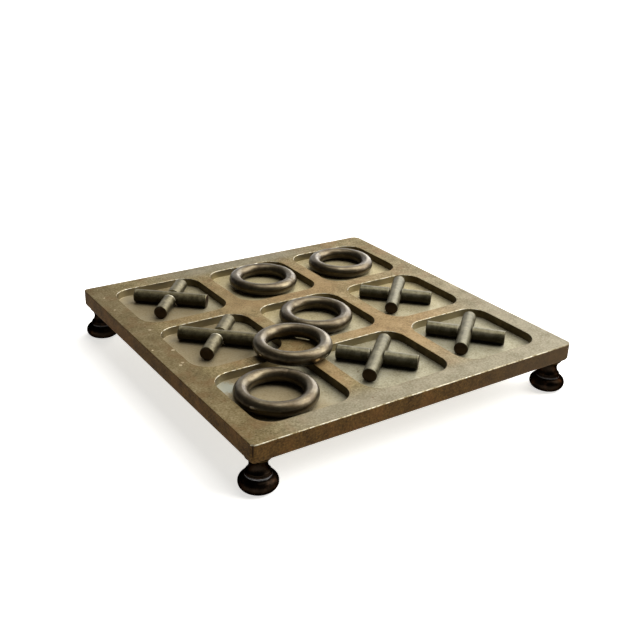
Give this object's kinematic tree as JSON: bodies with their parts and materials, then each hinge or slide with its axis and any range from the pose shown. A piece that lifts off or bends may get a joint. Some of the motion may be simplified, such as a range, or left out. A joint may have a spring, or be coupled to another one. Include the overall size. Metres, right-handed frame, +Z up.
{
  "type": "tic-tac-toe board",
  "caption": "Square metal game board on turned feet, with square pockets in its top that hold loose rings and half-lapped bar crosses. The pieces lift straight out.",
  "frame": {"origin": "middle of the board on the surface that its feet stand on", "axes": "+Z up, +X to the right along the front edge, +Y from the front edge to the back"},
  "size_m": [0.22, 0.22, 0.0385],
  "materials": {
    "board_bronze": "aged cast bronze with brushed top, olive-brown patina, darker sides",
    "foot_blackened": "turned and blackened, satin",
    "stud_steel": "plain threaded steel",
    "ring_brass": "polished rod with brown patina",
    "cross_steel": "dark oiled bar with fine turning lines"
  },
  "bodies": {
    "board": {"board": "board_bronze", "foot_front_left": "foot_blackened", "foot_front_right": "foot_blackened", "foot_back_left": "foot_blackened", "foot_back_right": "foot_blackened", "foot_studs": "stud_steel"},
    "ring_front_left": {"ring_front_left": "ring_brass"},
    "ring_centre": {"ring_centre": "ring_brass"},
    "ring_back_centre": {"ring_back_centre": "ring_brass"},
    "ring_back_right": {"ring_back_right": "ring_brass"},
    "ring_spare": {"ring_spare": "ring_brass"},
    "cross_front_centre": {"cross_front_centre_upper_bar": "cross_steel", "cross_front_centre_lower_bar": "cross_steel"},
    "cross_front_right": {"cross_front_right_upper_bar": "cross_steel", "cross_front_right_lower_bar": "cross_steel"},
    "cross_middle_left": {"cross_middle_left_upper_bar": "cross_steel", "cross_middle_left_lower_bar": "cross_steel"},
    "cross_middle_right": {"cross_middle_right_upper_bar": "cross_steel", "cross_middle_right_lower_bar": "cross_steel"},
    "cross_back_left": {"cross_back_left_upper_bar": "cross_steel", "cross_back_left_lower_bar": "cross_steel"}
  },
  "joints": [
    {"name": "ring_front_left_lift", "type": "slide", "parent": "board", "child": "ring_front_left", "axis": [0, 0, 1], "range_m": [0, 0.04]},
    {"name": "ring_centre_lift", "type": "slide", "parent": "board", "child": "ring_centre", "axis": [0, 0, 1], "range_m": [0, 0.04]},
    {"name": "ring_back_centre_lift", "type": "slide", "parent": "board", "child": "ring_back_centre", "axis": [0, 0, 1], "range_m": [0, 0.04]},
    {"name": "ring_back_right_lift", "type": "slide", "parent": "board", "child": "ring_back_right", "axis": [0, 0, 1], "range_m": [0, 0.04]},
    {"name": "ring_spare_lift", "type": "slide", "parent": "board", "child": "ring_spare", "axis": [0, 0, 1], "range_m": [0, 0.04]},
    {"name": "cross_front_centre_lift", "type": "slide", "parent": "board", "child": "cross_front_centre", "axis": [0, 0, 1], "range_m": [0, 0.04]},
    {"name": "cross_front_right_lift", "type": "slide", "parent": "board", "child": "cross_front_right", "axis": [0, 0, 1], "range_m": [0, 0.04]},
    {"name": "cross_middle_left_lift", "type": "slide", "parent": "board", "child": "cross_middle_left", "axis": [0, 0, 1], "range_m": [0, 0.04]},
    {"name": "cross_middle_right_lift", "type": "slide", "parent": "board", "child": "cross_middle_right", "axis": [0, 0, 1], "range_m": [0, 0.04]},
    {"name": "cross_back_left_lift", "type": "slide", "parent": "board", "child": "cross_back_left", "axis": [0, 0, 1], "range_m": [0, 0.04]}
  ]
}
